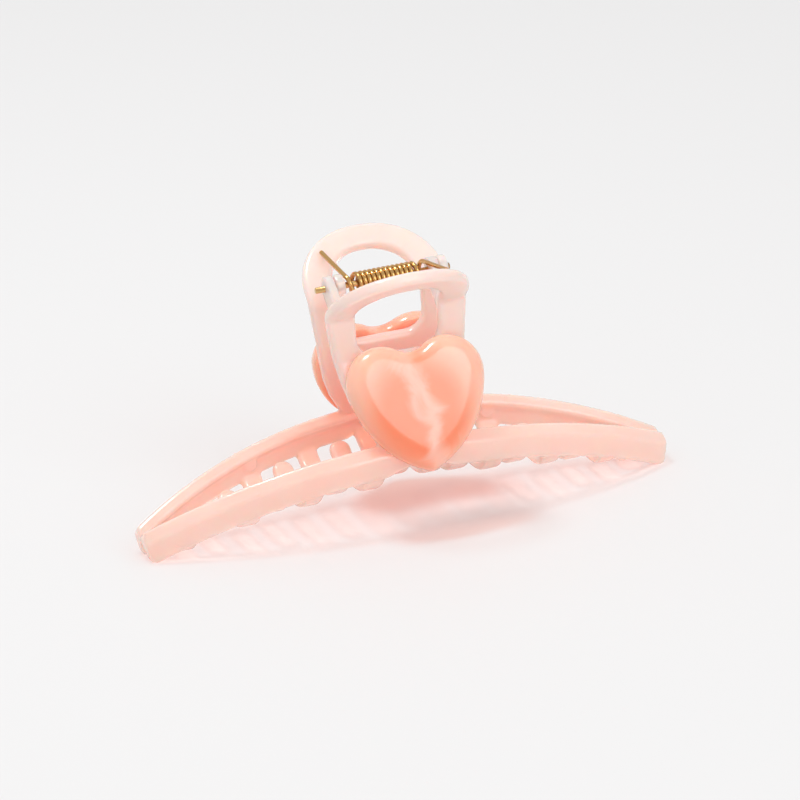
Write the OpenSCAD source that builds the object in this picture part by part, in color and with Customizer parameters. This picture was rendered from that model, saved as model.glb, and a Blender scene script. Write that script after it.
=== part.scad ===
// Claw clip: two identical spring-loaded jaws that turn on one pin, each with a heart on its face.
// X runs along the clip, the front jaw is on the -Y side, Z is up, and the origin is on the
// resting plane under the hinge. The back jaw is the front jaw turned half a turn about Z.

/* [Wings] */
// Length from tip to tip
wing_length = 114.6; // [90:1:150]
// Height of the tips above the resting plane
tip_height = 6.1; // [5:0.1:9]
// How far the top edge rises from the tips to the middle
wing_rise = 13.3; // [8:0.1:18]
// Distance of the top edge from the centre plane, at the middle
ridge_offset = 12.2; // [10:0.1:16]
// How far the tips bow in towards the centre plane
wing_bow = 10.6; // [6:0.1:10.8]
// Wall thickness of the wings
wing_wall = 2.7; // [2:0.1:3.5]
// Height and width of the sloping upper face
bevel = 2.4; // [1.5:0.1:3]
// How far the lower edge would pass the resting plane at the tips, where it is cut into flat feet
foot_cut = 0.7; // [0.5:0.1:1.5]
// Radius of the rounded upper corner of each tip
tip_radius = 3.8; // [2:0.1:5]
// Radius of the rounded lower corner of each tip
toe_radius = 0.8; // [0.5:0.1:2]
// How far the end of each tip slants inwards at the bottom
tip_slant = 0.8; // [0:0.1:2]
// Height of the arched relief in the middle of the lower edge
relief_h = 1.5; // [1:0.1:2.5]
// Width of the arched relief
relief_w = 15; // [12:0.5:22]

/* [Teeth] */
// Number of teeth on each jaw
tooth_count = 8; // [6:2:8]
// Distance between the teeth of one jaw
tooth_pitch = 13.1; // [10:0.1:13.5]
// Width of a tooth
tooth_width = 4.4; // [3:0.1:5]
// Thickness of a tooth
tooth_thick = 2.1; // [1.5:0.1:2.6]
// How far the teeth's roots reach below the wing's lower edge
tooth_drop = 0.4; // [0:0.1:0.8]
// Depth of a tooth's curve, as a share of its span
tooth_curve = 0.15; // [0.1:0.01:0.2]
// Gap between a tooth's tip and the wall of the other jaw
tooth_tip_gap = 0.9; // [0.5:0.1:3]
// Diameter of the round pegs inside the wings
peg_d = 2.6; // [1.5:0.1:3]
// Height of the round pegs
peg_h = 0.6; // [0.3:0.1:1]

/* [Neck and handle] */
// Lean of the lower neck from the vertical, in degrees
neck_lean = 21.7; // [18:0.1:25]
// Distance of the upright neck's hinge side from the centre plane
neck_offset = 3.7; // [3.6:0.1:4.5]
// Height above the wing's top edge where the neck stops leaning
lean_rise = 17.6; // [15:0.1:20]
// Rise of the handle above the horizontal, in degrees
handle_rise = 37.8; // [32:0.1:42]
// Thickness of the neck and the handle
plate = 2.8; // [2.2:0.1:3.4]
// Width across the handle and the top of the neck
frame_width = 30.6; // [30:0.1:36]
// Width of the neck behind the middle of the heart
neck_waist = 25; // [20:0.1:28]
// Width of the opening in the neck and handle
opening_width = 18; // [14:0.1:18]
// Length of the handle along its face, from the bend to its end
handle_reach = 16.4; // [15:0.1:20]
// Width of the rim at the end of the handle
rim = 5.5; // [4:0.1:6]
// Distance from the pin down to the bend between the neck and the handle
bend_drop = 4.3; // [3.9:0.1:5]
// Distance from the pin down to the lower end of the opening
opening_drop = 14; // [10:0.1:16]
// Radius of the bends on their inner sides
bend_r = 2; // [1:0.1:3]

/* [Hinge] */
// Height of the pin above the resting plane
hinge_height = 50.5; // [48:0.1:61]
// Diameter of the pin
pin_d = 1.3; // [1:0.1:1.6]
// Diameter of the hinge knuckles
knuckle_d = 5.2; // [4.6:0.1:5.4]
// Length of one knuckle
knuckle_len = 1.9; // [1.5:0.1:2.4]
// Distance from the middle to the inner face of the inner knuckles
knuckle_start = 9.3; // [9.3:0.1:9.8]
// Gap between two knuckles
knuckle_gap = 0.15; // [0.1:0.05:0.4]
// Radial clearance of the pin in the front jaw's knuckles
pin_clearance = 0.05; // [0.02:0.01:0.08]
// How far the pin stands out at its left end
pin_left = 2; // [0.5:0.1:2.5]
// How far the pin stands out at its right end
pin_right = 0.8; // [0.5:0.1:2]

/* [Spring] */
// Diameter of the wire
wire_d = 1; // [0.8:0.05:1.1]
// Outer diameter of the coil
coil_d = 4.9; // [4.4:0.1:5]
// Number of close turns
coil_turns = 12; // [8:2:12]
// Space along the pin that the last open turn takes at each end
lead = 2.5; // [1.8:0.1:2.6]
// Length of each leg, square to the pin
leg_reach = 12.2; // [8:0.1:13]
// How far each leg spreads along the pin
leg_spread = 0.9; // [0.5:0.1:3]

/* [Heart] */
// Width of a heart
heart_width = 29.5; // [26:0.1:32]
// Thickness of a heart
heart_thick = 4.6; // [3:0.1:6]
// Height of the upright edge of a heart, before its bevel
heart_edge = 1.6; // [0.8:0.1:2]
// Distance from the wing's top edge down to a heart's lower point
heart_drop = 6.5; // [2:0.1:7]
// How far the front heart is glued off the middle, towards +X
front_heart_shift = 1.4; // [-2:0.1:2]
// How far the back heart is glued off the middle, towards +X
back_heart_shift = 0.9; // [-2:0.1:2]

/* [Hidden] */
$fn = 96;
tip_x = wing_length / 2;
ridge_height = tip_height + wing_rise;
band_height = tip_height + foot_cut;
heart_foot = ridge_height - heart_drop;
opening_foot = hinge_height - opening_drop;
arc_depth = sqrt(wing_rise * wing_rise + wing_bow * wing_bow);
arc_r = (tip_x * tip_x + arc_depth * arc_depth) / (2 * arc_depth);
arc_tilt = atan2(wing_bow, wing_rise);
arc_half = asin(tip_x / arc_r) + 1;
lean_k = tan(neck_lean);
lean_top = ridge_height + lean_rise;
half_frame = frame_width / 2;
half_open = opening_width / 2;
// middle of the plate's thickness at the bend, as (distance out, height)
bend_o = neck_offset + plate / 2;
bend_z = hinge_height - bend_drop;
// half of the angle between the plate's two sides at the bend
bend_half = (90 + handle_rise) / 2;
wing_in = ridge_offset + bevel - wing_wall;
wing_out = ridge_offset + bevel;
wing_foot = ridge_height - band_height;
coil_r = (coil_d - wire_d) / 2;
wire_pitch = wire_d + 0.01;
knuckle_end = knuckle_start + 2 * knuckle_len + knuckle_gap;
pin_bore_free = pin_d + 2 * pin_clearance;
floor_gap = 0.35;                 // least height of a tooth above the resting plane
relief_r = (relief_w * relief_w / 4 + relief_h * relief_h) / (2 * relief_h);
foot_z = ridge_height - bevel;    // the neck ends here, inside the wing

// distance out and height of the hinge side of the neck at height z
function neck_in(z) = neck_offset + lean_k * max(0, lean_top - z);
function neck_out(z) = neck_in(z) + plate / cos(neck_lean);
// points along an arc
function arc(c, r, a0, a1, n) =
    [for (i = [0:n]) let (a = a0 + (a1 - a0) * i / n) [c[0] + r * cos(a), c[1] + r * sin(a)]];
// top edge of a wing: distance out and height at x
function arc_drop(x) = arc_r - sqrt(arc_r * arc_r - x * x);
function ridge_o(x) = ridge_offset - arc_drop(x) * sin(arc_tilt);
function ridge_z(x) = ridge_height - arc_drop(x) * cos(arc_tilt);
// height of a wing's lower edge at x, with the relief
function low_z(x) = ridge_z(x) - band_height
    + (abs(x) < relief_w / 2 ? relief_h - relief_r + sqrt(relief_r * relief_r - x * x) : 0);

// side outline of one jaw's neck and handle, as (distance out, height)
module plate_outline() {
    out = [cos(handle_rise), sin(handle_rise)];
    side = [sin(handle_rise), -cos(handle_rise)];
    bend = [bend_o, bend_z];
    mid = [sin(bend_half), -cos(bend_half)];        // from the bend into the hollow between neck and handle
    hinge_corner = bend - mid * plate / 2 / sin(bend_half);
    hollow_corner = bend + mid * plate / 2 / sin(bend_half);
    centre = hollow_corner + mid * bend_r / sin(bend_half);
    tip = bend + out * handle_reach;
    turn = 90 - handle_rise;
    polygon(concat(
        [[neck_out(foot_z), foot_z], [neck_in(foot_z), foot_z], [neck_in(lean_top), lean_top]],
        arc(centre, bend_r + plate, 180, 180 - turn, 10),
        [tip - side * plate / 2, tip + side * plate / 2],
        arc(centre, bend_r, 180 - turn, 180, 10),
        [[neck_offset + plate, lean_top + plate * tan(neck_lean / 2)]]));
}

// cuts that shape the neck as seen from the front
module neck_sides() {
    for (s = [-1, 1])
        rotate([90, 0, 0])
            linear_extrude(height = 60, center = true)
                polygon([for (p = [[half_frame, opening_foot + 8], [half_frame - 0.9, opening_foot + 1],
                    [neck_waist / 2, heart_foot + 15], [neck_waist / 3, heart_foot + 6.5],
                    [neck_waist / 3, 0], [30, 0], [30, opening_foot + 8]])
                    [s * p[0], p[1]]]);
}

// puts a drawing on the handle's own face: +Y on it points from its end back to the bend
module on_handle() {
    translate([0, -bend_o, bend_z])
        rotate([-handle_rise, 0, 0])
            children();
}

// cut that rounds the end of the handle
module handle_end() {
    on_handle()
        linear_extrude(height = 14, center = true)
            difference() {
                translate([-40, -60])
                    square([80, 60 - handle_reach + half_frame]);
                translate([0, half_frame - handle_reach])
                    circle(r = half_frame);
            }
}

// one opening runs from behind the heart, through the bend, into the handle
module opening() {
    foot_r = 4;
    rotate([90, 0, 0])
        linear_extrude(height = 12)
            union() {
                translate([-half_open, opening_foot + foot_r])
                    square([opening_width, bend_z + 0.6 - opening_foot - foot_r]);
                translate([foot_r - half_open, opening_foot])
                    square([opening_width - 2 * foot_r, foot_r + 1]);
                for (s = [-1, 1])
                    translate([s * (half_open - foot_r), opening_foot + foot_r])
                        circle(r = foot_r);
            }
    on_handle()
        linear_extrude(height = 12, center = true)
            union() {
                translate([0, half_open + rim - handle_reach])
                    circle(r = half_open);
                translate([-half_open, half_open + rim - handle_reach])
                    square([opening_width, handle_reach - half_open - rim + 1]);
            }
}

// end of a wing as seen from the front: round above, slanting inwards to a small round toe below
function tip_outline(side) =
    let (top = arc([tip_x - tip_radius, tip_radius + 0.8], tip_radius, 90, -10, 8),
        toe = arc([tip_x - tip_slant - toe_radius, toe_radius], toe_radius, -20, -90, 5),
        p = concat(top, toe, [[0, 0]]))
    side > 0 ? [for (i = [len(p) - 1:-1:0]) p[i]] : [for (q = p) [-q[0], q[1]]];

// the curved wing: its section turned about a tilted axis, with rounded tips and flat feet
module wing() {
    section = [[0, 0], [bevel, -bevel], [bevel, -band_height], [bevel - wing_wall, -band_height],
        [bevel - wing_wall, -bevel - 0.41 * wing_wall], [-0.707 * wing_wall, -0.707 * wing_wall]];
    s = sin(arc_tilt);
    c = cos(arc_tilt);
    intersection() {
        translate([0, -ridge_offset, ridge_height])
            rotate([90 + arc_tilt, 0, 0])
                translate([0, -arc_r, 0])
                    rotate([0, 0, 90 - arc_half])
                        rotate_extrude(angle = 2 * arc_half, $fn = 360)
                            polygon([for (p = section) [arc_r + p[0] * s + p[1] * c, p[0] * c - p[1] * s]]);
        rotate([90, 0, 0])
            linear_extrude(height = 40)
                difference() {
                    union() {
                        polygon(concat(tip_outline(1), [for (p = tip_outline(-1)) p], [[0, 60]]));
                        translate([tip_radius - tip_x, 3])
                            square([wing_length - 2 * tip_radius, 60]);
                    }
                    translate([0, wing_foot + relief_h - relief_r])
                        circle(r = relief_r);
                }
    }
}

// one tooth: a curved finger with a round end, from the wing at x across the centre plane
module tooth(x) {
    root = ridge_o(x) + bevel - wing_wall / 2;
    tip = ridge_o(x) + bevel - wing_wall - tooth_tip_gap;
    span = root + tip;
    sag = tooth_curve * span;
    r = (span * span / 4 + sag * sag) / (2 * sag);
    half = asin(span / 2 / r);
    end_angle = half - (tooth_width / 2 / r) * 180 / PI;
    chord_z = max(low_z(x) - tooth_drop, floor_gap + sag) + tooth_thick / 2;
    translate([x, (tip - root) / 2, chord_z - sag + r])
        rotate([90, 0, 90])
            intersection() {
                rotate_extrude()
                    translate([r - tooth_thick / 2, -tooth_width / 2])
                        square([tooth_thick, tooth_width]);
                union() {
                    linear_extrude(height = tooth_width, center = true)
                        polygon([[0, 0], 2 * r * [-sin(half + 1), -cos(half + 1)], [0, -3 * r],
                            2 * r * [sin(end_angle), -cos(end_angle)]]);
                    rotate([0, 0, end_angle])
                        rotate([90, 0, 0])
                            cylinder(d = tooth_width, h = 2 * r);
                }
            }
}

// a round peg on the inner wall of the wing, above the tooth at x
module peg(x) {
    translate([x, -ridge_o(x) - bevel + wing_wall, low_z(x) + 3])
        rotate([-90, 0, 0])
            cylinder(d = peg_d, h = 2 * peg_h, center = true);
}

// a jaw's own knuckle, with the arm that ties it to the bend
module knuckle(x0, bore) {
    r = knuckle_d / 2;
    inside = plate / 2;
    translate([x0, 0, 0])
        rotate([90, 0, 90])
            linear_extrude(height = knuckle_len)
                difference() {
                    union() {
                        translate([0, hinge_height])
                            circle(r = r);
                        polygon([[-0.7 * r, hinge_height + 0.7 * r], [-bend_o - 1.6, bend_z + 2.4],
                            [-bend_o, bend_z], [-neck_offset - inside, bend_z - 3], [-neck_offset - 0.3, bend_z - 3],
                            [0.6 * r, hinge_height - 0.8 * r], [0, hinge_height]]);
                    }
                    translate([0, hinge_height])
                        circle(d = bore);
                }
}

module jaw(bore) {
    first = -(tooth_count / 2 - 0.25) * tooth_pitch;
    difference() {
        rotate([90, 0, -90])
            linear_extrude(height = frame_width, center = true)
                plate_outline();
        neck_sides();
        handle_end();
        opening();
    }
    wing();
    for (i = [0:tooth_count - 1])
        tooth(first + i * tooth_pitch);
    for (i = [0:2:tooth_count - 1])
        peg(first + i * tooth_pitch);
    knuckle(-knuckle_end, bore);
    knuckle(knuckle_start, bore);
}

module front_jaw() {
    color("mistyrose") jaw(pin_bore_free);
}

module back_jaw() {
    color("mistyrose") rotate([0, 0, 180]) jaw(pin_d);
}

// half of a heart's outline, from its lower point to the notch, drawn inwards by d
function heart_half(d) =
    let (k = heart_width / 29.5, big = 22.75 * k, big_c = [-7.8 * k, 21.4 * k],
        lobe = 7.6 * k, lobe_c = [7.15 * k, 19.65 * k], valley = 25.4 * k - 1.1 * d,
        a_tip = -acos(7.8 * k / (big - d)), a_side = -5,
        a_notch = 180 - asin(min(1, (valley - lobe_c[1]) / (lobe - d))))
    concat(arc(big_c, big - d, a_tip, a_side, 10), arc(lobe_c, lobe - d, 4, a_notch, 14), [[0, valley]]);
function heart_ring(d) =
    let (h = heart_half(d), n = len(h))
    concat(h, [for (i = [n - 2:-1:1]) [-h[i][0], h[i][1]]]);

// the heart lies on z = 0 with its lower point at the origin
module heart() {
    wide = heart_thick - heart_edge;
    steps = [[0.4, 0], [0, 0.4], [0, heart_edge], [0.45 * wide, heart_edge + 0.55 * wide],
        [0.95 * wide, heart_edge + 0.93 * wide], [1.4 * wide, heart_thick]];
    rings = [for (s = steps) [for (p = heart_ring(s[0])) [p[0], p[1], s[1]]]];
    n = len(rings[0]);
    m = len(steps);
    polyhedron(
        points = [for (r = rings) for (p = r) p],
        faces = concat(
            [[for (i = [0:n - 1]) i]],
            [for (j = [0:m - 2]) for (i = [0:n - 1])
                [j * n + i, (j + 1) * n + i, (j + 1) * n + (i + 1) % n, j * n + (i + 1) % n]],
            [[for (i = [n - 1:-1:0]) (m - 1) * n + i]]));
}

module placed_heart(shift) {
    translate([shift, -neck_out(heart_foot), heart_foot])
        rotate([90 - neck_lean, 0, 0])
            heart();
}

module front_heart() {
    color("lightsalmon") placed_heart(front_heart_shift);
}

module back_heart() {
    color("lightsalmon") rotate([0, 0, 180]) placed_heart(-back_heart_shift);
}

module hinge_pin() {
    color("gold")
        translate([-knuckle_end - pin_left, 0, hinge_height])
            rotate([0, 90, 0])
                cylinder(d = pin_d, h = 2 * knuckle_end + pin_left + pin_right);
}

// the wire's centre line: one leg, an open turn, the close turns, an open turn, the other leg
coil_half = coil_turns / 2 * wire_pitch;
leg_angle = 8;                 // slope of the legs, so that their ends rest on the handles
turn_steps = 14;
function coil_point(x, a) = [x, coil_r * cos(a), hinge_height + coil_r * sin(a)];
function open_turn(n) =
    [for (i = [1:n]) let (t = i / n) coil_point(coil_half + lead * t, 90 + (360 - leg_angle) * t)];
function half_wire() =
    concat(
        [for (i = [0:coil_turns / 2 * turn_steps]) let (t = i / turn_steps) coil_point(wire_pitch * t, 90 + 360 * t)],
        open_turn(turn_steps),
        [coil_point(coil_half + lead, 90 - leg_angle)
            + [leg_spread, -leg_reach, leg_reach * tan(leg_angle)]]);
function turned(p) = [-p[0], -p[1], p[2]];
function wire_path() =
    let (h = half_wire(), n = len(h))
    concat([for (i = [n - 1:-1:1]) turned(h[i])], h);

module torsion_spring() {
    path = wire_path();
    n = len(path);
    sides = 8;
    r = wire_d / 2;
    along = [for (i = [0:n - 1]) let (d = path[min(i + 1, n - 1)] - path[max(i - 1, 0)]) d / norm(d)];
    // a direction square to the wire that always points away from the pin
    off = [for (i = [0:n - 1]) let (q = [0, path[i][1], path[i][2] - hinge_height],
        b = q - (q * along[i]) * along[i]) b / norm(b)];
    color("gold")
        polyhedron(
            points = [for (i = [0:n - 1]) let (v = cross(along[i], off[i]))
                for (k = [0:sides - 1]) path[i] + r * (cos(360 * k / sides) * off[i] + sin(360 * k / sides) * v)],
            faces = concat(
                [[for (k = [0:sides - 1]) k]],
                [for (i = [0:n - 2]) for (k = [0:sides - 1]) for (half = [0, 1])
                    let (a = i * sides + k, b = i * sides + (k + 1) % sides)
                        half == 0 ? [a, a + sides, b + sides] : [a, b + sides, b]],
                [[for (k = [sides - 1:-1:0]) (n - 1) * sides + k]]));
}

front_jaw();
back_jaw();
front_heart();
back_heart();
hinge_pin();
torsion_spring();
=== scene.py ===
"""The looks of a claw clip: two jelly plastic jaws, two hearts, a gold pin and a gold spring.

Places and sizes repeat those of the CAD parts. X runs along the clip, the front jaw is on the
-Y side, Z is up, and the clip stands on the feet at the ends of its wings.
"""

from math import atan2, cos, hypot, pi, radians, sin, tan

import bmesh
import bpy
from mathutils import Matrix, Vector


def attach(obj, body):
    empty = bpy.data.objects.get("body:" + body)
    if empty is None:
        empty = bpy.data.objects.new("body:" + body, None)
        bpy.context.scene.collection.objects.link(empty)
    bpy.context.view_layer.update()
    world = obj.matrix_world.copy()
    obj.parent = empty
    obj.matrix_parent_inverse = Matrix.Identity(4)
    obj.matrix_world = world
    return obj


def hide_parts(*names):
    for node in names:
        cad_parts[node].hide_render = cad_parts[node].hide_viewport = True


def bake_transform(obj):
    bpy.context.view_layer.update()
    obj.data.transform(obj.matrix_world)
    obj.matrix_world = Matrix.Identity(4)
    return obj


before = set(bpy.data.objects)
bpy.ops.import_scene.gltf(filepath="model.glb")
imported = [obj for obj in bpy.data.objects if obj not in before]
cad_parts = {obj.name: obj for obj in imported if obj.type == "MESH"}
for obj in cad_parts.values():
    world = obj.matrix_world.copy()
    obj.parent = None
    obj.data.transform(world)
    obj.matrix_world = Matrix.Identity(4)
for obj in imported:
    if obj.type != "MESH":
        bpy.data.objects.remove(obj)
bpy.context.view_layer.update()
scene = bpy.context.scene


# ---------------------------------------------------------------------------------------------
# The two jaws: each is one injection moulding in clear pink jelly plastic. A curved wing, eight
# curved teeth, a neck, a loop handle and two hinge knuckles flow into each other with soft
# edges. The back jaw is the front jaw turned round, with tighter bores that hold the pin.
def mesh_from(name, points, faces):
    """A new object in the scene from points in millimetres."""
    mesh = bpy.data.meshes.new(name)
    mesh.from_pydata([Vector(p) * 0.001 for p in points], [], faces)
    bm = bmesh.new()
    bm.from_mesh(mesh)
    bmesh.ops.remove_doubles(bm, verts=bm.verts, dist=1e-7)
    bmesh.ops.recalc_face_normals(bm, faces=bm.faces)
    bm.to_mesh(mesh)
    bm.free()
    piece = bpy.data.objects.new(name, mesh)
    scene.collection.objects.link(piece)
    return piece


def loft(name, rings):
    """A closed skin through rings that all have the same number of points."""
    count = len(rings[0])
    points = [p for ring in rings for p in ring]
    faces = [list(range(count)), list(range(len(points) - 1, len(points) - 1 - count, -1))]
    for j in range(len(rings) - 1):
        for i in range(count):
            a = j * count + i
            b = j * count + (i + 1) % count
            faces.append([a, b, b + count, a + count])
    return mesh_from(name, points, faces)


def bake(piece):
    """Replaces a piece's mesh with the result of its modifiers."""
    bpy.context.view_layer.update()
    graph = bpy.context.evaluated_depsgraph_get()
    made = bpy.data.meshes.new_from_object(piece.evaluated_get(graph))
    piece.modifiers.clear()
    if piece.type == "MESH":
        piece.data = made
        return piece
    solid = bpy.data.objects.new(piece.name, made)
    scene.collection.objects.link(solid)
    bpy.data.objects.remove(piece)
    return solid


def cut(piece, tool, operation):
    """Cuts a piece with a tool, or keeps only what lies in the tool."""
    step = piece.modifiers.new("cut", "BOOLEAN")
    step.object = tool
    step.operation = operation
    step.solver = "MANIFOLD"
    bake(piece)
    bpy.data.objects.remove(tool)
    return piece


def remesh(piece, voxel, rounds):
    """Runs all overlapping skins of a piece together and softens the edges."""
    step = piece.modifiers.new("skin", "REMESH")
    step.mode = "VOXEL"
    step.voxel_size = voxel * 0.001
    step = piece.modifiers.new("soften", "SMOOTH")
    step.factor = 0.5
    step.iterations = rounds
    return bake(piece)


def prism(name, outline, low, high, along="X"):
    """A straight bar from an outline: (y, z) points along X, or (x, z) points along Y."""
    if along == "X":
        rings = [[(e, p[0], p[1]) for p in outline] for e in (low, high)]
    else:
        rings = [[(p[0], e, p[1]) for p in outline] for e in (low, high)]
    return loft(name, rings)


# The wing, in millimetres: its ridge runs on an arc that rises and bows outwards to its middle.
tip_x = 57.3
ridge_out = 12.2
ridge_top = 19.4
wall = 2.7
slope_size = 2.4
band = 6.8
bow = 10.6
rise = 13.3
depth = hypot(rise, bow)
arc_radius = (tip_x**2 + depth**2) / (2 * depth)
tilt = atan2(bow, rise)
# The lower edge is raised in the middle, over this height and half length.
relief_up = 1.5
relief_half = 7.5
# The neck's lean in degrees, and the height of the hinge pin's middle.
neck_lean = 21.7
hinge_up = 50.5


def wing_skin():
    """The curved wing: its section carried round a tilted arc, trimmed to round tips and flat feet."""
    half_sweep = radians(34.2)
    half_count = 70
    rings = []
    for i in range(2 * half_count + 1):
        angle = half_sweep * (i / half_count - 1)
        x = arc_radius * sin(angle)
        relief = relief_up * max(0.0, 1 - (x / relief_half) ** 2)
        section = [(0.35, -0.1), (slope_size - 0.25, -slope_size + 0.5), (slope_size, -slope_size),
                   (slope_size, -band + relief + 0.5), (slope_size - 0.5, -band + relief),
                   (slope_size - wall + 0.5, -band + relief), (slope_size - wall, -band + relief + 0.5),
                   (slope_size - wall, -slope_size - 0.41 * wall), (-0.66 * wall, -0.74 * wall),
                   (-0.60 * wall, -0.50 * wall), (-0.35, -0.25)]
        ring = []
        for out, up in section:
            far = arc_radius + out * sin(tilt) + up * cos(tilt)
            side = out * cos(tilt) - up * sin(tilt)
            down = far * cos(angle) - arc_radius
            ring.append((far * sin(angle), -ridge_out - down * sin(tilt) - side * cos(tilt),
                         ridge_top + down * cos(tilt) - side * sin(tilt)))
        rings.append(ring)
    wing = loft("wing", rings)
    tip_r = 3.8
    tip_up = 4.6
    toe_r = 0.8
    end = [(tip_x - tip_r + tip_r * cos(radians(a)), tip_up + tip_r * sin(radians(a)))
           for a in range(90, -11, -10)]
    toe = [(tip_x - 2 * toe_r + toe_r * cos(radians(a)), toe_r + toe_r * sin(radians(a)))
           for a in range(-20, -91, -14)]
    right = [(tip_x - tip_r, 30)] + end + toe
    outline = right + [(-x, z) for x, z in reversed(right)]
    return cut(wing, prism("trim", outline, -30, 5, along="Y"), "INTERSECT")


def teeth_and_pegs(finish):
    """Eight curved fingers under the wing, and a round peg on the wall over every second one."""
    tree = bpy.data.node_groups.new("teeth", "GeometryNodeTree")
    tree.interface.new_socket("Geometry", in_out="OUTPUT", socket_type="NodeSocketGeometry")
    inputs = {}
    # The sizes are in millimetres; the curve is the fingers' sag as a share of their span.
    for label, value in (("Pitch", 13.1), ("Width", 4.4), ("Thickness", 2.1), ("Curve", 0.185),
                         ("Ridge Out", ridge_out), ("Ridge Top", ridge_top), ("Arc Radius", arc_radius)):
        socket = tree.interface.new_socket(label, in_out="INPUT", socket_type="NodeSocketFloat")
        inputs[label] = (socket.identifier, value * 0.001 if label != "Curve" else value)
    given = tree.nodes.new("NodeGroupInput").outputs

    def put(socket, value):
        if isinstance(value, bpy.types.NodeSocket):
            tree.links.new(value, socket)
        else:
            socket.default_value = value

    def math(operation, *values):
        node = tree.nodes.new("ShaderNodeMath")
        node.operation = operation
        for socket, value in zip(node.inputs, values):
            put(socket, value)
        return node.outputs[0]

    def vector(x, y, z):
        node = tree.nodes.new("ShaderNodeCombineXYZ")
        for socket, value in zip(node.inputs, (x, y, z)):
            put(socket, value)
        return node.outputs[0]

    def node(kind, settings=(), **values):
        made = tree.nodes.new(kind)
        for name, value in settings:
            setattr(made, name, value)
        for name, value in values.items():
            put(made.inputs[name.replace("_", " ")], value)
        return made

    def row(count, share):
        """Points along the wing, and the wing's ridge, lower edge and span at each of them."""
        first = math("MULTIPLY", given["Pitch"], -3.75)
        line = node("GeometryNodeMeshLine", Count=count, Start_Location=vector(first, 0.0, 0.0),
                    Offset=vector(math("MULTIPLY", given["Pitch"], share), 0.0, 0.0))
        x = tree.nodes.new("ShaderNodeSeparateXYZ")
        tree.links.new(tree.nodes.new("GeometryNodeInputPosition").outputs[0], x.inputs[0])
        radius = given["Arc Radius"]
        square = math("SUBTRACT", math("MULTIPLY", radius, radius),
                      math("MULTIPLY", x.outputs[0], x.outputs[0]))
        drop = math("SUBTRACT", radius, math("SQRT", square))
        out = math("SUBTRACT", given["Ridge Out"], math("MULTIPLY", drop, sin(tilt)))
        low = math("SUBTRACT", given["Ridge Top"], math("MULTIPLY_ADD", drop, cos(tilt), band * 0.001))
        off = math("DIVIDE", x.outputs[0], relief_half * 0.001)
        left_over = math("MULTIPLY_ADD", math("MULTIPLY", off, off), -relief_up * 0.001, relief_up * 0.001)
        relief = math("MAXIMUM", left_over, 0.0)
        return line.outputs[0], x.outputs[0], out, math("ADD", low, relief)

    points, x, out, low = row(8, 1.0)
    root = math("ADD", out, (slope_size - wall * 0.45) * 0.001)
    tip = math("ADD", out, (slope_size - wall - 0.9) * 0.001)
    span = math("ADD", root, tip)
    sag = math("MULTIPLY", span, given["Curve"])
    lowest = math("ADD", sag, 0.00135)
    height = math("MAXIMUM", math("ADD", low, 0.0009), lowest)
    sized = node("GeometryNodeStoreNamedAttribute", [("data_type", "FLOAT_VECTOR")], Geometry=points,
                 Name="size", Value=vector(1.0, span, sag))
    placed = node("GeometryNodeSetPosition", Geometry=sized.outputs[0],
                  Position=vector(x, math("MULTIPLY", math("SUBTRACT", tip, root), 0.5), height))
    straight = node("GeometryNodeCurvePrimitiveLine", Start=(0, -0.5, 0), End=(0, 0.5, 0))
    fine = node("GeometryNodeResampleCurve", Curve=straight.outputs[0], Count=41)
    along = tree.nodes.new("ShaderNodeSeparateXYZ")
    tree.links.new(tree.nodes.new("GeometryNodeInputPosition").outputs[0], along.inputs[0])
    bend = math("POWER", math("ABSOLUTE", math("MULTIPLY", along.outputs[1], 2.0)), 3.2)
    curved = node("GeometryNodeSetPosition", Geometry=fine.outputs[0],
                  Offset=vector(0.0, 0.0, math("SUBTRACT", bend, 1.0)))
    size = node("GeometryNodeInputNamedAttribute", [("data_type", "FLOAT_VECTOR")], Name="size")
    fingers = node("GeometryNodeInstanceOnPoints", Points=placed.outputs[0], Instance=curved.outputs[0],
                   Scale=size.outputs[0])
    lines = node("GeometryNodeRealizeInstances", Geometry=fingers.outputs[0])
    dense = node("GeometryNodeResampleCurve", [("mode", "LENGTH")], Curve=lines.outputs[0], Length=0.0003)
    walked = tree.nodes.new("GeometryNodeSplineParameter").outputs["Length"]
    whole = tree.nodes.new("GeometryNodeSplineLength").outputs["Length"]
    half = math("MULTIPLY", given["Width"], 0.5)
    left = math("DIVIDE", math("SUBTRACT", whole, walked), half)
    short = math("SUBTRACT", 1.0, math("MINIMUM", left, 1.0))
    round_tip = math("SQRT", math("SUBTRACT", 1.02, math("MULTIPLY", short, short)))
    tapered = node("GeometryNodeSetCurveRadius", Curve=dense.outputs[0], Radius=round_tip)
    profile = node("GeometryNodeCurvePrimitiveQuadrilateral", Width=given["Width"],
                   Height=given["Thickness"])
    filleted = node("GeometryNodeFilletCurve", [("mode", "POLY")], Curve=profile.outputs[0], Count=3,
                    Radius=0.0008)
    teeth = node("GeometryNodeCurveToMesh", Curve=tapered.outputs[0], Profile_Curve=filleted.outputs[0],
                 Fill_Caps=True)
    if "Scale" in teeth.inputs:
        put(teeth.inputs["Scale"], round_tip)
    points, x, out, low = row(4, 2.0)
    wall_y = math("MULTIPLY", math("ADD", out, (slope_size - wall) * 0.001), -1.0)
    on_wall = node("GeometryNodeSetPosition", Geometry=points,
                   Position=vector(x, wall_y, math("ADD", low, 0.003)))
    peg = node("GeometryNodeMeshCylinder", Radius=0.0014, Depth=0.0016, Vertices=32)
    pegs = node("GeometryNodeInstanceOnPoints", Points=on_wall.outputs[0], Instance=peg.outputs[0],
                Rotation=(radians(90), 0, 0))
    both = tree.nodes.new("GeometryNodeJoinGeometry")
    tree.links.new(teeth.outputs[0], both.inputs[0])
    tree.links.new(pegs.outputs[0], both.inputs[0])
    real = node("GeometryNodeRealizeInstances", Geometry=both.outputs[0])
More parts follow.
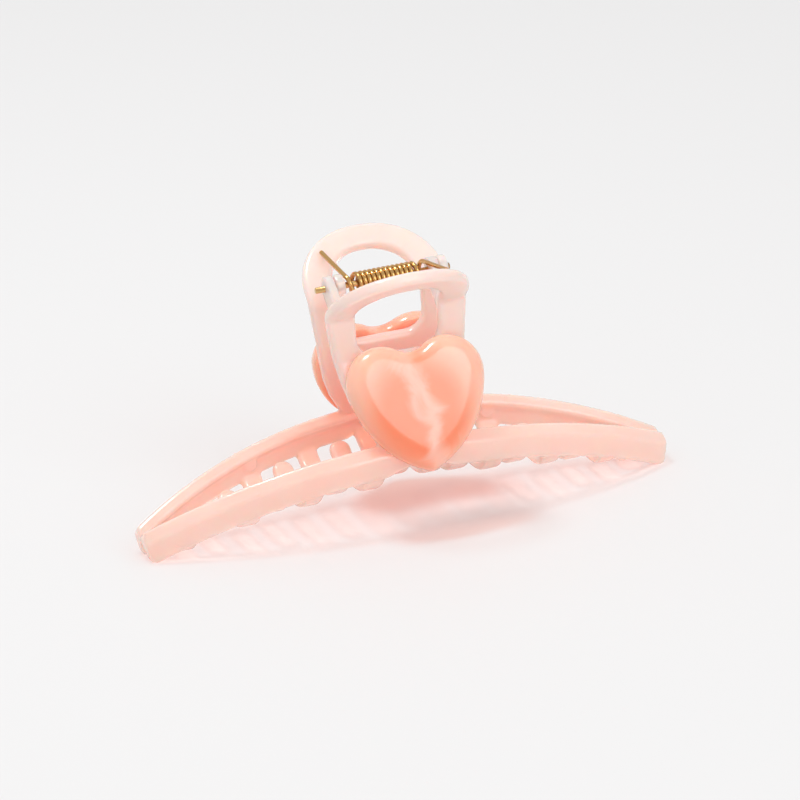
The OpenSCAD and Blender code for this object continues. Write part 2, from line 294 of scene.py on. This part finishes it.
    painted = node("GeometryNodeSetMaterial", Geometry=real.outputs[0])
    painted.inputs["Material"].default_value = finish
    made = tree.nodes.new("NodeGroupOutput")
    tree.links.new(painted.outputs[0], made.inputs[0])
    holder = mesh_from("teeth", [], [])
    step = holder.modifiers.new("teeth", "NODES")
    step.node_group = tree
    for identifier, value in inputs.values():
        step[identifier] = value
    return bake(holder)


def loop_plate():
    """The neck and handle: a flat loop with round edges, bent at the hinge and leant at the neck."""
    flat = bpy.data.curves.new("loop", "CURVE")
    flat.dimensions = "2D"
    flat.fill_mode = "BOTH"
    half_plate = 0.0014
    round_edge = 0.00095
    flat.extrude = half_plate - round_edge
    flat.bevel_depth = round_edge
    flat.offset = -round_edge
    flat.bevel_resolution = 3
    squareness = 0.93
    quarter = [radians(4 * i) for i in range(23)]
    side = [(7.0, -30.7), (8.4, -28.0), (10.9, -23.5), (12.5, -19), (13.6, -14.0), (14.4, -8.7),
            (14.9, -4.6), (15.3, -1.4)]
    shoulder = [(15.3 * cos(a) ** squareness, 1.6 + 14.7 * sin(a) ** squareness) for a in quarter]
    right = side + shoulder
    outer = right + [(-x, v) for x, v in reversed(right)]
    foot = [(5 + 4 * cos(radians(a)), -5.7 + 4 * sin(radians(a))) for a in range(-90, 1, 10)]
    head = [(9 * cos(a) ** squareness, 1.4 + 9.2 * sin(a) ** squareness) for a in quarter]
    right = foot + head
    inner = right + [(-x, v) for x, v in reversed(right)]
    for outline in (outer, inner):
        spline = flat.splines.new("POLY")
        spline.points.add(len(outline) - 1)
        spline.use_cyclic_u = True
        for point, (x, v) in zip(spline.points, outline):
            point.co = (x * 0.001, v * 0.001, 0, 1)
    plate = bpy.data.objects.new("loop", flat)
    scene.collection.objects.link(plate)
    plate = bake(plate)
    bm = bmesh.new()
    bm.from_mesh(plate.data)
    bmesh.ops.remove_doubles(bm, verts=bm.verts, dist=1e-6)
    bm.to_mesh(plate.data)
    bm.free()
    plate = remesh(plate, 0.45, 2)

    handle_fold = 52.2

    def heading(v):
        """Direction of the plate at v along it, as an angle from upright towards the outside."""
        lean = min(1.0, max(0.0, (v + 11.7) / 5))
        fold = min(1.0, max(0.0, (v + 1.8) / 3.6))
        lean = lean * lean * (3 - 2 * lean)
        fold = fold * fold * (3 - 2 * fold)
        return radians(-neck_lean * (1 - lean) + handle_fold * fold)

    step = 0.05
    line = {0: (5.38, 46.05)}
    for way in (1, -1):
        out, up = line[0]
        for i in range(1, 700):
            angle = heading(way * (i - 0.5) * step)
            out += way * sin(angle) * step
            up += way * cos(angle) * step
            line[way * i] = (out, up)
    for vertex in plate.data.vertices:
        x, v, t = (c * 1000 for c in vertex.co)
        i = int(v // step)
        share = v / step - i
        out = line[i][0] * (1 - share) + line[i + 1][0] * share
        up = line[i][1] * (1 - share) + line[i + 1][1] * share
        angle = heading(v)
        vertex.co = Vector((x, -(out + t * cos(angle)), up - t * sin(angle))) * 0.001
    plate.data.update()
    return plate


def knuckle(x0):
    """A hinge knuckle with the arm that ties it to the bend of the plate."""
    barrel_r = 2.6
    thick = 1.9
    barrel = [(barrel_r * cos(radians(a)), hinge_up + barrel_r * sin(radians(a))) for a in range(0, 360, 9)]
    arm = [(-1.9, 52.3), (-6.7, 48.6), (-5.1, 46.2), (-5.1, 43.2), (-3.9, 43.2), (1.5, 48.4), (0, hinge_up)]
    return [prism("barrel", barrel, x0, x0 + thick), prism("arm", arm, x0, x0 + thick)]


def jelly_plastic():
    """Pink jelly plastic: pinker on the wing, and paler up the handle by painted light; faintly clouded,
    glossy.
    """
    finish = bpy.data.materials.new("jelly plastic")
    finish.use_nodes = True
    nodes = finish.node_tree.nodes
    links = finish.node_tree.links
    shader = nodes["Principled BSDF"]
    place = nodes.new("ShaderNodeTexCoord")
    parts = nodes.new("ShaderNodeSeparateXYZ")
    links.new(place.outputs["Object"], parts.inputs[0])
    # Painted light: the colour turns paler with height, standing in for light shining through the handle
    # from behind.
    height = nodes.new("ShaderNodeMapRange")
    height.inputs["From Min"].default_value = 0.016
    height.inputs["From Max"].default_value = 0.05
    links.new(parts.outputs["Z"], height.inputs["Value"])
    cloud = nodes.new("ShaderNodeTexNoise")
    cloud.inputs["Scale"].default_value = 55
    cloud.inputs["Detail"].default_value = 4
    links.new(place.outputs["Object"], cloud.inputs["Vector"])
    # Colour B is the painted light laid on higher up; colour A is the plastic's own pink lower down.
    tint = nodes.new("ShaderNodeMix")
    tint.data_type = "RGBA"
    tint.inputs["A"].default_value = (0.995, 0.69, 0.615, 1)
    tint.inputs["B"].default_value = (1.0, 0.77, 0.725, 1)
    links.new(height.outputs["Result"], tint.inputs["Factor"])
    veil = nodes.new("ShaderNodeMix")
    veil.data_type = "RGBA"
    veil.inputs["B"].default_value = (1.0, 0.82, 0.78, 1)
    links.new(tint.outputs["Result"], veil.inputs["A"])
    haze = nodes.new("ShaderNodeMapRange")
    haze.inputs["From Min"].default_value = 0.45
    haze.inputs["From Max"].default_value = 0.75
    haze.inputs["To Max"].default_value = 0.35
    links.new(cloud.outputs["Fac"], haze.inputs["Value"])
    links.new(haze.outputs["Result"], veil.inputs["Factor"])
    links.new(veil.outputs["Result"], shader.inputs["Base Color"])
    skin_wear = nodes.new("ShaderNodeMapRange")
    skin_wear.inputs["From Min"].default_value = 0.35
    skin_wear.inputs["From Max"].default_value = 0.7
    skin_wear.inputs["To Min"].default_value = 0.12
    skin_wear.inputs["To Max"].default_value = 0.24
    links.new(cloud.outputs["Fac"], skin_wear.inputs["Value"])
    links.new(skin_wear.outputs["Result"], shader.inputs["Roughness"])
    ripple = nodes.new("ShaderNodeTexNoise")
    ripple.inputs["Scale"].default_value = 260
    ripple.inputs["Detail"].default_value = 2
    links.new(place.outputs["Object"], ripple.inputs["Vector"])
    bump = nodes.new("ShaderNodeBump")
    bump.inputs["Strength"].default_value = 0.12
    bump.inputs["Distance"].default_value = 0.0003
    links.new(ripple.outputs["Fac"], bump.inputs["Height"])
    links.new(bump.outputs["Normal"], shader.inputs["Normal"])
    shader.inputs["IOR"].default_value = 1.48
    shader.inputs["Subsurface Weight"].default_value = 1.0
    shader.inputs["Subsurface Radius"].default_value = (1.0, 0.55, 0.42)
    shader.inputs["Subsurface Scale"].default_value = 0.005
    shader.inputs["Transmission Weight"].default_value = 0.28
    shader.inputs["Coat Weight"].default_value = 0.35
    shader.inputs["Coat Roughness"].default_value = 0.06
    clear = nodes.new("ShaderNodeBsdfTransparent")
    clear.inputs["Color"].default_value = (0.92, 0.84, 0.825, 1)
    light = nodes.new("ShaderNodeLightPath")
    mixed = nodes.new("ShaderNodeMixShader")
    links.new(light.outputs["Is Shadow Ray"], mixed.inputs["Fac"])
    links.new(shader.outputs[0], mixed.inputs[1])
    links.new(clear.outputs[0], mixed.inputs[2])
    links.new(mixed.outputs[0], nodes["Material Output"].inputs["Surface"])
    return finish


def jaw_skin(name, bore, finish):
    """One whole jaw as a single closed skin, with its two knuckles bored for the pin."""
    parts = [wing_skin(), teeth_and_pegs(finish), loop_plate(), *knuckle(-13.25), *knuckle(9.3)]
    bm = bmesh.new()
    for part in parts:
        bm.from_mesh(part.data)
        bpy.data.objects.remove(part)
    mesh = bpy.data.meshes.new(name)
    bm.to_mesh(mesh)
    bm.free()
    jaw = bpy.data.objects.new(name, mesh)
    scene.collection.objects.link(jaw)
    remesh(jaw, 0.36, 3)
    hole = [(bore / 2 * cos(radians(a)), hinge_up + bore / 2 * sin(radians(a))) for a in range(0, 360, 15)]
    cut(jaw, prism("drill", hole, -20, 20), "DIFFERENCE")
    jaw.data.materials.clear()
    jaw.data.materials.append(finish)
    jaw.data.shade_smooth()
    return jaw


plastic = jelly_plastic()
front_jaw = jaw_skin("front_jaw_skin", 1.4, plastic)
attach(front_jaw, "front_half")
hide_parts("front_jaw")
back_jaw = jaw_skin("back_jaw_skin", 1.3, plastic)
back_jaw.data.transform(Matrix.Rotation(pi, 4, "Z"))
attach(back_jaw, "back_half")
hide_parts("back_jaw")


# ---------------------------------------------------------------------------------------------
# The two hearts: puffy cast plastic hearts with a softly rounded rim, in a deeper pink with a
# pale marbled streak. Each is glued flat against the neck of its jaw, a little off the middle.
def heart_outline():
    """Points round the heart, from its lower point up its right side and back down the left."""
    side_r = 22.75
    lobe_r = 7.6
    big = [(-7.8 + side_r * cos(radians(a)), 21.4 + side_r * sin(radians(a)))
           for a in (-69.9 + 64.9 * i / 24 for i in range(25))]
    lobe = [(7.15 + lobe_r * cos(radians(a)), 19.65 + lobe_r * sin(radians(a)))
            for a in (4 + 124 * i / 30 for i in range(31))]
    right = [(0, big[0][1])] + big[1:] + lobe + [(1.3, 25.15), (0, 25.0)]
    return right + [(-x, y) for x, y in reversed(right[1:-1])]


def heart_skin(name, shift, turned):
    """A puffy heart in its place on the neck, moved sideways by shift."""
    lean = radians(neck_lean)
    foot_up = 12.9
    plate = 2.8
    lean_top = 37.0
    neck_offset = 3.7
    foot_out = neck_offset + (lean_top - foot_up) * tan(lean) + plate / cos(lean)
    outer = heart_outline()
    lengths = [0]
    for i in range(len(outer)):
        a = Vector(outer[i])
        b = Vector(outer[(i + 1) % len(outer)])
        lengths.append(lengths[-1] + (b - a).length)
    middle_up = 13.6
    base = []
    place = 0
    steps = 256
    for k in range(steps):
        walk = lengths[-1] * k / steps
        while lengths[place + 1] < walk:
            place += 1
        share = (walk - lengths[place]) / (lengths[place + 1] - lengths[place])
        a = Vector(outer[place])
        b = Vector(outer[(place + 1) % len(outer)])
        base.append(a.lerp(b, share))
    normals = []
    for k in range(steps):
        way = base[(k + 3) % steps] - base[k - 3]
        normals.append(Vector((-way.y, way.x)).normalized())
    profile = [(0.5, 0.0), (0.12, 0.18), (0.0, 0.55), (0.0, 1.5), (0.18, 2.2), (0.6, 2.95), (1.2, 3.55),
               (1.95, 3.98), (2.8, 4.22), (3.7, 4.36)]
    rings = []
    for inset, up in profile:
        ring = [p + n * inset for p, n in zip(base, normals)]
        for turn in range(int(inset * 6)):
            ring = [(ring[k - 1] + ring[k] * 2 + ring[(k + 1) % steps]) / 4 for k in range(steps)]
        rings.append([(p.x, p.y, up) for p in ring])
    last = rings[-1]
    crown = 0.24
    for i in range(1, 13):
        shrink = 1 - i / 12.4
        up = profile[-1][1] + crown * (1 - shrink * shrink)
        rings.append([(x * shrink, y * shrink + middle_up * (1 - shrink), up) for x, y, _ in last])
    made = []
    for ring in rings:
        placed = []
        for x, y, up in ring:
            out = foot_out - y * sin(lean) + up * cos(lean)
            high = foot_up + y * cos(lean) + up * sin(lean)
            placed.append((x + shift, -out, high) if not turned else (shift - x, out, high))
        made.append(placed)
    heart = loft(name, made)
    heart.data.shade_smooth()
    return heart


def heart_plastic():
    """Deeper pink cast plastic with a pale marbled streak, glossy."""
    finish = bpy.data.materials.new("heart plastic")
    finish.use_nodes = True
    nodes = finish.node_tree.nodes
    links = finish.node_tree.links
    shader = nodes["Principled BSDF"]
    place = nodes.new("ShaderNodeTexCoord")
    turn = nodes.new("ShaderNodeMapping")
    turn.inputs["Rotation"].default_value = (0, radians(14), 0)
    turn.inputs["Location"].default_value = (-0.0075, 0, 0)
    links.new(place.outputs["Object"], turn.inputs["Vector"])
    bend = nodes.new("ShaderNodeTexNoise")
    bend.inputs["Scale"].default_value = 90
    bend.inputs["Detail"].default_value = 5
    bend.inputs["Distortion"].default_value = 1.2
    links.new(place.outputs["Object"], bend.inputs["Vector"])
    parts = nodes.new("ShaderNodeSeparateXYZ")
    links.new(turn.outputs[0], parts.inputs[0])
    sway = nodes.new("ShaderNodeMath")
    sway.operation = "MULTIPLY_ADD"
    sway.inputs[1].default_value = 0.014
    links.new(bend.outputs["Fac"], sway.inputs[0])
    links.new(parts.outputs["X"], sway.inputs[2])
    off = nodes.new("ShaderNodeMath")
    off.operation = "SUBTRACT"
    off.inputs[1].default_value = 0.0072
    links.new(sway.outputs[0], off.inputs[0])
    away = nodes.new("ShaderNodeMath")
    away.operation = "ABSOLUTE"
    links.new(off.outputs[0], away.inputs[0])
    streak = nodes.new("ShaderNodeMapRange")
    streak.interpolation_type = "SMOOTHSTEP"
    streak.inputs["From Min"].default_value = 0.0
    streak.inputs["From Max"].default_value = 0.0042
    streak.inputs["To Min"].default_value = 0.6
    streak.inputs["To Max"].default_value = 0.0
    links.new(away.outputs[0], streak.inputs["Value"])
    tint = nodes.new("ShaderNodeMix")
    tint.data_type = "RGBA"
    tint.inputs["A"].default_value = (1.0, 0.28, 0.14, 1)
    tint.inputs["B"].default_value = (1.0, 0.66, 0.57, 1)
    links.new(streak.outputs["Result"], tint.inputs["Factor"])
    from_core = nodes.new("ShaderNodeVectorMath")
    from_core.operation = "MULTIPLY_ADD"
    from_core.inputs[1].default_value = (1, 0, 0.95)
    from_core.inputs[2].default_value = (-0.0002, 0, -0.0245)
    links.new(place.outputs["Object"], from_core.inputs[0])
    distance = nodes.new("ShaderNodeVectorMath")
    distance.operation = "LENGTH"
    links.new(from_core.outputs[0], distance.inputs[0])
    edge = nodes.new("ShaderNodeMapRange")
    edge.interpolation_type = "SMOOTHSTEP"
    edge.inputs["From Min"].default_value = 0.0065
    edge.inputs["From Max"].default_value = 0.0145
    links.new(distance.outputs["Value"], edge.inputs["Value"])
    pale = nodes.new("ShaderNodeMix")
    pale.data_type = "RGBA"
    pale.inputs["B"].default_value = (1.0, 0.54, 0.41, 1)
    links.new(edge.outputs["Result"], pale.inputs["Factor"])
    links.new(tint.outputs["Result"], pale.inputs["A"])
    links.new(pale.outputs["Result"], shader.inputs["Base Color"])
    skin_wear = nodes.new("ShaderNodeMapRange")
    skin_wear.inputs["From Min"].default_value = 0.35
    skin_wear.inputs["From Max"].default_value = 0.7
    skin_wear.inputs["To Min"].default_value = 0.15
    skin_wear.inputs["To Max"].default_value = 0.27
    links.new(bend.outputs["Fac"], skin_wear.inputs["Value"])
    links.new(skin_wear.outputs["Result"], shader.inputs["Roughness"])
    bump = nodes.new("ShaderNodeBump")
    bump.inputs["Strength"].default_value = 0.1
    bump.inputs["Distance"].default_value = 0.0003
    links.new(bend.outputs["Fac"], bump.inputs["Height"])
    links.new(bump.outputs["Normal"], shader.inputs["Normal"])
    shader.inputs["IOR"].default_value = 1.5
    shader.inputs["Subsurface Weight"].default_value = 1.0
    shader.inputs["Subsurface Radius"].default_value = (1.0, 0.42, 0.3)
    shader.inputs["Subsurface Scale"].default_value = 0.003
    shader.inputs["Coat Weight"].default_value = 0.4
    shader.inputs["Coat Roughness"].default_value = 0.08
    clear = nodes.new("ShaderNodeBsdfTransparent")
    clear.inputs["Color"].default_value = (0.9, 0.55, 0.45, 1)
    light = nodes.new("ShaderNodeLightPath")
    mixed = nodes.new("ShaderNodeMixShader")
    links.new(light.outputs["Is Shadow Ray"], mixed.inputs["Fac"])
    links.new(shader.outputs[0], mixed.inputs[1])
    links.new(clear.outputs[0], mixed.inputs[2])
    links.new(mixed.outputs[0], nodes["Material Output"].inputs["Surface"])
    return finish


deep_pink = heart_plastic()
front_heart = heart_skin("front_heart_skin", 1.4, False)
front_heart.data.materials.append(deep_pink)
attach(front_heart, "front_half")
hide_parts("front_heart")
back_heart = heart_skin("back_heart_skin", 0.9, True)
back_heart.data.materials.append(deep_pink)
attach(back_heart, "back_half")
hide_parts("back_heart")


# ---------------------------------------------------------------------------------------------
# The hinge pin: a straight piece of gold plated wire with a small chamfer at both ends. It is
# pressed into the back jaw's knuckles, and the front jaw's knuckles turn freely on it.
def gold(name, tint, roughness):
    """Gold plating that is a little duller in fine spots."""
    finish = bpy.data.materials.new(name)
    finish.use_nodes = True
    nodes = finish.node_tree.nodes
    links = finish.node_tree.links
    shader = nodes["Principled BSDF"]
    shader.inputs["Metallic"].default_value = 1.0
    shader.inputs["Base Color"].default_value = (*tint, 1)
    place = nodes.new("ShaderNodeTexCoord")
    wear = nodes.new("ShaderNodeTexNoise")
    wear.inputs["Scale"].default_value = 900
    wear.inputs["Detail"].default_value = 3
    links.new(place.outputs["Object"], wear.inputs["Vector"])
    spread = nodes.new("ShaderNodeMapRange")
    spread.inputs["To Min"].default_value = roughness - 0.06
    spread.inputs["To Max"].default_value = roughness + 0.08
    links.new(wear.outputs["Fac"], spread.inputs["Value"])
    links.new(spread.outputs["Result"], shader.inputs["Roughness"])
    return finish


pin_rings = []
for x, r in ((-15.25, 0.5), (-15.13, 0.65), (14.0, 0.65), (14.05, 0.5)):
    pin_rings.append([(x, r * cos(radians(a)), hinge_up + r * sin(radians(a))) for a in range(0, 360, 15)])
hinge_pin = loft("hinge_pin_wire", pin_rings)
for face in hinge_pin.data.polygons:
    face.use_smooth = len(face.vertices) == 4 and abs(face.normal.x) < 0.3
hinge_pin.data.materials.append(gold("pin gold", (0.68, 0.43, 0.18), 0.22))
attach(hinge_pin, "back_half")
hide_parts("hinge_pin")


# ---------------------------------------------------------------------------------------------
# The torsion spring: twelve close turns of gold wire on the pin, with one open turn and one
# straight leg at each end. Each leg presses on the upper face of its own jaw's handle.
def spring_wire():
    """The wire's centre line from the middle of the coil to the end of the leg on the right."""
    coil_r = 1.95
    pitch = 1.01
    half_turns = 6
    turn_points = 32
    lead = 2.5
    leg_reach = 12.2
    leg_spread = 0.9
    slope = radians(8)
    points = []
    for i in range(half_turns * turn_points):
        turn = i / turn_points
        angle = 2 * pi * turn + pi / 2
        points.append((pitch * turn, coil_r * cos(angle), hinge_up + coil_r * sin(angle)))
    for i in range(41):
        share = i / 40
        angle = pi / 2 + (2 * pi - slope) * share
        x = half_turns * pitch + lead * share
        points.append((x, coil_r * cos(angle), hinge_up + coil_r * sin(angle)))
    x, y, z = points[-1]
    rise_share = tan(slope)
    for i in range(1, 11):
        share = i / 10
        points.append((x + leg_spread * share, y - leg_reach * share, z + leg_reach * share * rise_share))
    return points


right_half = spring_wire()
wire_line = [(-x, -y, z) for x, y, z in reversed(right_half[1:])] + right_half
wire_curve = bpy.data.curves.new("wire", "CURVE")
wire_curve.dimensions = "3D"
wire_curve.bevel_depth = 0.0005
wire_curve.bevel_resolution = 3
wire_curve.use_fill_caps = True
wire_spline = wire_curve.splines.new("POLY")
wire_spline.points.add(len(wire_line) - 1)
for point, at in zip(wire_spline.points, wire_line):
    point.co = (at[0] * 0.001, at[1] * 0.001, at[2] * 0.001, 1)
wire = bpy.data.objects.new("wire", wire_curve)
scene.collection.objects.link(wire)
spring = bake(wire)
spring.name = "torsion_spring_wire"
spring.data.shade_smooth()
spring.data.materials.clear()
spring.data.materials.append(gold("spring gold", (0.66, 0.40, 0.15), 0.18))
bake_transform(spring)
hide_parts("torsion_spring")


# ---------------------------------------------------------------------------------------------
# The table and the light: a pale matt table, a small soft lamp high behind the clip on its left,
# so that its pink shadow falls to the front and right, a weak wide lamp in front, and a pale room.
table = mesh_from("table", [(-1500, -1500, 0), (1500, -1500, 0), (1500, 2500, 0), (-1500, 2500, 0)],
                  [[0, 1, 2, 3]])
paper = bpy.data.materials.new("pale table")
paper.use_nodes = True
matt = paper.node_tree.nodes["Principled BSDF"]
matt.inputs["Base Color"].default_value = (0.72, 0.72, 0.725, 1)
matt.inputs["Roughness"].default_value = 0.7
table.data.materials.append(paper)

room = bpy.data.worlds.new("room")
room.use_nodes = True
scene.world = room
air = room.node_tree.nodes["Background"]
air.inputs["Color"].default_value = (1.0, 0.99, 0.98, 1)
air.inputs["Strength"].default_value = 0.7

middle = Vector((0, 0, 0.02))
for name, spot, size, power in (("key", (-0.2, 0.22, 1.0), 0.2, 5.0),
                                ("fill", (0.3, -0.9, 0.6), 0.7, 3.5)):
    lamp = bpy.data.lights.new(name, "AREA")
    lamp.shape = "DISK"
    lamp.size = size
    lamp.energy = power
    holder = bpy.data.objects.new(name, lamp)
    holder.location = spot
    holder.rotation_mode = "QUATERNION"
    holder.rotation_quaternion = (middle - Vector(spot)).to_track_quat("-Z", "Y")
    scene.collection.objects.link(holder)

# The camera, in metres: from the left and above, held slightly turned.
azimuth = radians(-18)
elevation = radians(20)
roll = radians(4.6)
back = Vector((sin(azimuth) * cos(elevation), -cos(azimuth) * cos(elevation), sin(elevation)))
across = Vector((cos(azimuth), sin(azimuth), 0))
upward = back.cross(across)
right = across * cos(roll) - upward * sin(roll)
top = back.cross(right)
far = 2.5
view_width = 0.16495
aim = Vector((0, 0, 0.025)) + right * 0.001134 - top * 0.001237
lens = bpy.data.cameras.new("camera")
lens.sensor_width = 36
lens.lens = lens.sensor_width * far / view_width
lens.clip_end = 20
camera = bpy.data.objects.new("camera", lens)
turned = Matrix((right, top, back)).transposed().to_4x4()
camera.matrix_world = Matrix.Translation(aim + back * far) @ turned
scene.collection.objects.link(camera)
scene.camera = camera
scene.view_settings.view_transform = "Standard"
